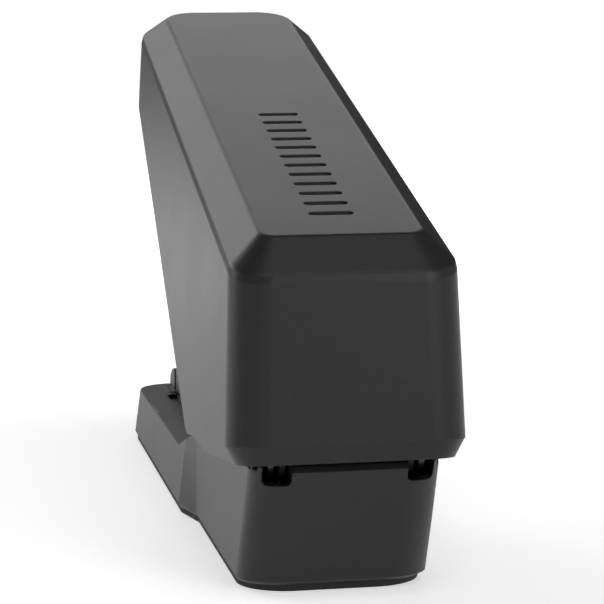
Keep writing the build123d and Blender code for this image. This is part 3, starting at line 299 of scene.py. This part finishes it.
SHELL = (0.0166, 0.0168, 0.0172)
MATS = {
    "shell": moulded("shell_plastic", SHELL, rough=0.40, grain=0.22, wear=0.22, dust=0.003),
    "base": moulded("base_plastic", (0.0158, 0.0160, 0.0164), rough=0.42, grain=0.24, wear=0.20, dust=0.003),
    "dark": moulded("dark_plastic", (0.0120, 0.0122, 0.0124), rough=0.45, grain=0.25, wear=0.18),
    "black": moulded("black_plastic", (0.0062, 0.0062, 0.0064), rough=0.5, grain=0.3, wear=0.15),
    "white": moulded("white_plastic", (0.36, 0.355, 0.335), rough=0.38, grain=0.12, vary=0.03, wear=0.0),
    "sole": rubber("sole_rubber", (0.0150, 0.0150, 0.0153)),
    "steel": metal("bright_steel", (0.60, 0.605, 0.615), 0.28),
    "dark_steel": metal("dark_steel", (0.20, 0.205, 0.215), 0.38, worn=(0.5, 0.5, 0.51)),
    "zinc": metal("motor_steel", (0.52, 0.54, 0.56), 0.34, stretch=(1.0, 1.0, 1.0), scale=420.0, stain=0.35),
    "wire": metal("spring_steel", (0.50, 0.50, 0.52), 0.25, stretch=(8.0, 8.0, 8.0), scale=160.0),
    "staple": metal("staple_wire", (0.66, 0.67, 0.69), 0.22, stretch=(40.0, 1.0, 1.0), scale=120.0, stain=0.15),
    "brass": metal("gear_brass", (0.72, 0.50, 0.20), 0.27, worn=(0.9, 0.75, 0.45)),
    "nickel": metal("contact_nickel", (0.62, 0.60, 0.55), 0.3),
    "nylon": nylon("gear_nylon", (0.36, 0.345, 0.305)),
    "board": board("board_green"),
    "parts": moulded("parts_black", (0.018, 0.018, 0.02), rough=0.3, grain=0.1, wear=0.05),
    "cell": banded("cell_sleeve", [(0.0, (0.62, 0.62, 0.64)), (0.03, (0.03, 0.032, 0.036)), (0.34, (0.10, 0.105, 0.115)), (0.37, (0.03, 0.032, 0.036)), (0.70, (0.42, 0.20, 0.06)), (0.96, (0.62, 0.62, 0.64))], tuple(FWD), (HX @ FWD) + 0.0125, 0.0502),
}
lamp = Mat("lamp_clear")
lamp.link(lamp.mix(lamp.remap(lamp.noise(300.0), 0.3, 0.7, 0.0, 1.0), (0.20, 0.50, 0.16), (0.30, 0.62, 0.24)), lamp.p.inputs["Base Color"])
lamp.link(lamp.remap(lamp.noise(500.0), 0.3, 0.7, 0.12, 0.2), lamp.p.inputs["Roughness"])
lamp.p.inputs["Transmission Weight"].default_value = 0.35
MATS["lamp"] = lamp.m

LOOK = {
    "base_shell": "base", "base_plate": "dark", "base_screws": "dark_steel", "rubber_sole": "sole",
    "paper_table": "black", "anvil_plate": "steel", "anvil_screws": "dark_steel", "sensor_lever": "black",
    "sensor_pin": "steel", "sensor_bracket": "dark", "sensor_switch": "parts", "hinge_pin": "steel",
    "hinge_washers": "steel", "magazine_housing": "dark", "magazine_track": "dark_steel", "inner_rail": "steel",
    "guide_rod": "steel", "staple_strip": "staple", "nose_cap": "dark", "front_plate": "steel",
    "nose_screws": "dark_steel", "staple_pusher": "black", "pusher_spring": "wire", "cover_spring": "wire",
    "cover_shell": "shell", "battery_door": "shell", "cover_chassis": "dark_steel", "chassis_screws": "steel",
    "battery_holder": "black", "battery_cells": "cell", "battery_contacts": "nickel", "circuit_board": "board",
    "board_posts": "dark", "board_components": "parts", "switch_body": "parts", "power_slider": "black",
    "status_light": "lamp", "motor_can": "zinc", "motor_endcap": "white", "motor_pinion": "brass",
    "gear_one": "nylon", "gear_two": "nylon", "gear_three": "nylon", "gear_axles": "steel",
    "gear_plate_inner": "zinc", "gear_plate_outer": "zinc", "driver_guide": "steel", "driver_carriage": "dark_steel",
    "driver_blade": "steel", "blade_rivets": "steel", "closing_switch": "parts", "closing_plunger": "white", "magazine_leaf": "wire",
}
for name, obj in nodes.items():
    m = MATS[LOOK.get(name, "dark")]
    if not obj.material_slots:
        obj.data.materials.append(m)
    for s in obj.material_slots:
        s.material = m

# ------------------------------------------------------------------ the staples, one by one
def strip_of_staples():
    """A glued strip: flat-wire staples side by side, each a crown and two legs with softened bends."""
    bm = bmesh.new()
    n, pitch, half = 178, 0.1 / 178, 0.00024
    outer = [(-6.40, 17.0), (-6.40, 21.95), (-6.22, 22.27), (-5.90, 22.4), (5.90, 22.4), (6.22, 22.27), (6.40, 21.95), (6.40, 17.0)]
    inner = [(-5.92, 17.0), (-5.92, 21.80), (-5.86, 21.88), (-5.76, 21.92), (5.76, 21.92), (5.86, 21.88), (5.92, 21.80), (5.92, 17.0)]
    for i in range(n):
        f = 0.075 + pitch * (i + 0.5)
        lift = 0.00002 * math.sin(i * 12.9898) + 0.00001 * math.cos(i * 4.1)
        rings = []
        for sy in (-1, 1):
            y = REAR_Y - f - sy * half
            rings.append([bm.verts.new((x / 1000, y, z / 1000 + lift)) for x, z in outer + inner[::-1]])
        m = len(rings[0])
        for a in range(m):
            b = (a + 1) % m
            bm.faces.new((rings[0][a], rings[0][b], rings[1][b], rings[1][a]))
        for r, flip in ((rings[0], True), (rings[1], False)):
            for a in range(len(outer) - 1):
                q = (r[a], r[a + 1], r[m - 2 - a], r[m - 1 - a])
                bm.faces.new(q[::-1] if flip else q)
    bmesh.ops.recalc_face_normals(bm, faces=bm.faces)
    me = bpy.data.meshes.new("staples")
    bm.to_mesh(me)
    bm.free()
    o = bpy.data.objects.new("staples", me)
    bpy.context.scene.collection.objects.link(o)
    me.materials.append(MATS["staple"])
    return o


staples = strip_of_staples()
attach(staples, "magazine")
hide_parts("staple_strip")

def coil(name, start, axis, radius, wire, length, turns, mat):
    """Round-wire coil with closed, flattened ends, from start along axis (Y or Z)."""
    bm = bmesh.new()
    steps, sides = int(turns * 20), 8
    prev = None
    first = last = None
    for i in range(steps + 1):
        t = i / steps
        e = min(1.0, max(0.0, (t - 0.05) / 0.90))
        a = 2 * math.pi * turns * t
        along = wire + (length - 2 * wire) * e
        rad_dir = Vector((math.cos(a), math.sin(a), 0.0))
        tan = Vector((-math.sin(a), math.cos(a), (length / (2 * math.pi * turns * radius)))).normalized()
        nrm = rad_dir.cross(tan).normalized()
        c = rad_dir * radius + Vector((0, 0, along))
        ring = []
        for k in range(sides):
            b = 2 * math.pi * k / sides
            v = c + (rad_dir * math.cos(b) + nrm * math.sin(b)) * wire
            if axis == "Y":
                v = Vector((v.x, -v.z, v.y))
            ring.append(bm.verts.new(v + start))
        if prev:
            for k in range(sides):
                bm.faces.new((prev[k], prev[(k + 1) % sides], ring[(k + 1) % sides], ring[k]))
        else:
            first = ring
        prev = ring
    bm.faces.new(first[::-1])
    bm.faces.new(prev)
    bmesh.ops.recalc_face_normals(bm, faces=bm.faces)
    for fc in bm.faces:
        fc.smooth = len(fc.verts) == 4
    me = bpy.data.meshes.new(name)
    bm.to_mesh(me)
    bm.free()
    o = bpy.data.objects.new(name, me)
    bpy.context.scene.collection.objects.link(o)
    me.materials.append(mat)
    return o


# the feed spring, a coil of fixed length riding with the magazine; on the stapler it shortens as the pusher is drawn
# back
feed = coil("feed_coil", B(0, 14.0, 19.2), "Y", 0.0016, 0.00025, 0.045, 18.7, MATS["wire"])
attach(feed, "magazine")
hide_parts("pusher_spring")
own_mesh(feed)

# the leaf under the magazine, bowed up in the middle and riding with the base; on the stapler it flattens as the
# magazine is pressed down
lbm = bmesh.new()
rows = []
for i in range(25):
    f = 30.0 + 26.0 * i / 24
    g = (f - 43.0) / 7.2
    lift = 1.04 * (0.5 + 0.5 * math.cos(math.pi * max(-1.0, min(1.0, g))))
    rows.append([lbm.verts.new(B(x, f, z + lift)) for x, z in ((-4.5, 14.62), (4.5, 14.62), (4.5, 14.9), (-4.5, 14.9))])
for a, b in zip(rows[:-1], rows[1:]):
    for k in range(4):
        lbm.faces.new((a[k], a[(k + 1) % 4], b[(k + 1) % 4], b[k]))
lbm.faces.new(rows[0][::-1])
lbm.faces.new(rows[-1])
bmesh.ops.recalc_face_normals(lbm, faces=lbm.faces)
lme = bpy.data.meshes.new("leaf_strip")
lbm.to_mesh(lme)
lbm.free()
leaf = bpy.data.objects.new("leaf_strip", lme)
bpy.context.scene.collection.objects.link(leaf)
lme.materials.append(MATS["wire"])
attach(leaf, "base")
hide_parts("magazine_leaf")
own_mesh(leaf)

# the cover's spring, a coil of fixed length standing on the magazine; on the stapler it is pressed flat as the cover
# comes down
LIFT = coil("lift_coil", B(0, 27.0, 24.3), "Z", 0.0034, 0.0004, 0.0180, 8.0, MATS["wire"])
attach(LIFT, "magazine")
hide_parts("cover_spring")
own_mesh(LIFT)

# ------------------------------------------------------------------ stage
floor_mesh = bpy.data.meshes.new("floor")
s = 25.0
floor_mesh.from_pydata([(-s, -s, 0), (s, -s, 0), (s, s, 0), (-s, s, 0)], [], [(0, 1, 2, 3)])
floor = bpy.data.objects.new("floor", floor_mesh)
bpy.context.scene.collection.objects.link(floor)
fm = Mat("floor_paper")
fm.link(fm.mix(fm.remap(fm.noise(3.0), 0.3, 0.7, 0.0, 1.0), (0.88, 0.88, 0.88), (0.90, 0.90, 0.90)), fm.p.inputs["Base Color"])
# the paper glows a little by the object and more with distance, so the sweep fades to white
GLOW_NEAR, GLOW_FAR = 0.50, 1.10
reach = fm.new("ShaderNodeVectorMath", operation="LENGTH")
fm.link(fm.coord, reach.inputs[0])
fm.link(fm.remap(reach.outputs["Value"], 0.20, 0.75, GLOW_NEAR, GLOW_FAR), fm.p.inputs["Emission Strength"])
fm.p.inputs["Emission Color"].default_value = (1.0, 1.0, 1.0, 1.0)
fm.p.inputs["Roughness"].default_value = 0.9
fm.p.inputs["Specular IOR Level"].default_value = 0.1
floor_mesh.materials.append(fm.m)

# ------------------------------------------------------------------ light
SETUP = {
    # name: (position, aim, width, height, watts)
    "far": ((0.0, -1.7, 1.15), (0, 0, 0.08), 1.8, 0.9, 8.9),
    "far_left": ((1.15, -1.35, 0.9), (0, 0, 0.08), 0.9, 0.9, 12.7),
    "near": ((-0.75, 1.6, 0.6), (0, 0.05, 0.05), 0.8, 0.8, 11.3),
    "above_near": ((-0.1, 0.75, 1.25), (0, 0.08, 0.05), 0.7, 0.5, 4.7),
    "right": ((-1.25, 0.2, 0.6), (0, 0, 0.05), 0.9, 0.8, 0.8),
    "left_strip": ((1.5, -0.55, 0.35), (0, 0.05, 0.05), 0.35, 0.6, 4.1),
}
AMBIENT = 0.05
for name, (pos, aim, w, h, watts) in SETUP.items():
    d = bpy.data.lights.new(name, "AREA")
    d.shape = "RECTANGLE"
    d.size, d.size_y, d.energy = w, h, watts
    o = bpy.data.objects.new(name, d)
    o.location = pos
    o.rotation_euler = (Vector(aim) - Vector(pos)).to_track_quat("-Z", "Y").to_euler()
    bpy.context.scene.collection.objects.link(o)

world = bpy.data.worlds.new("studio")
bpy.context.scene.world = world
world.use_nodes = True
wt = world.node_tree
wt.nodes.clear()
wout = wt.nodes.new("ShaderNodeOutputWorld")
seen = wt.nodes.new("ShaderNodeBackground")
seen.inputs["Color"].default_value = (1, 1, 1, 1)
seen.inputs["Strength"].default_value = 1.0
lit = wt.nodes.new("ShaderNodeBackground")
lit.inputs["Color"].default_value = (1, 1, 1, 1)
lit.inputs["Strength"].default_value = AMBIENT
path = wt.nodes.new("ShaderNodeLightPath")
mixw = wt.nodes.new("ShaderNodeMixShader")
wt.links.new(path.outputs["Is Camera Ray"], mixw.inputs[0])
wt.links.new(lit.outputs[0], mixw.inputs[1])
wt.links.new(seen.outputs[0], mixw.inputs[2])
wt.links.new(mixw.outputs[0], wout.inputs["Surface"])

sc = bpy.context.scene
sc.view_settings.view_transform = "Standard"
sc.view_settings.look = "None"
sc.view_settings.exposure = 0.0

# ------------------------------------------------------------------ camera
psi, phi, roll = math.radians(9.601), math.radians(5.730), math.radians(-0.735)
f = Vector((-math.sin(psi) * math.cos(phi), -math.cos(psi) * math.cos(phi), -math.sin(phi)))
r = Vector((-math.cos(psi), math.sin(psi), 0.0))
u = r.cross(f)
r2 = r * math.cos(roll) + u * math.sin(roll)
u2 = -r * math.sin(roll) + u * math.cos(roll)
cam = bpy.data.cameras.new("camera")
cam.sensor_width = 36.0
cam.lens = 36.0 * 2168.0 / 604.0
cam.clip_start, cam.clip_end = 0.01, 50.0
co = bpy.data.objects.new("camera", cam)
m3 = Matrix((r2, u2, -f)).transposed()
co.matrix_world = Matrix.Translation((0.077099, 0.512287, 0.100588)) @ m3.to_4x4()
sc.collection.objects.link(co)
sc.camera = co
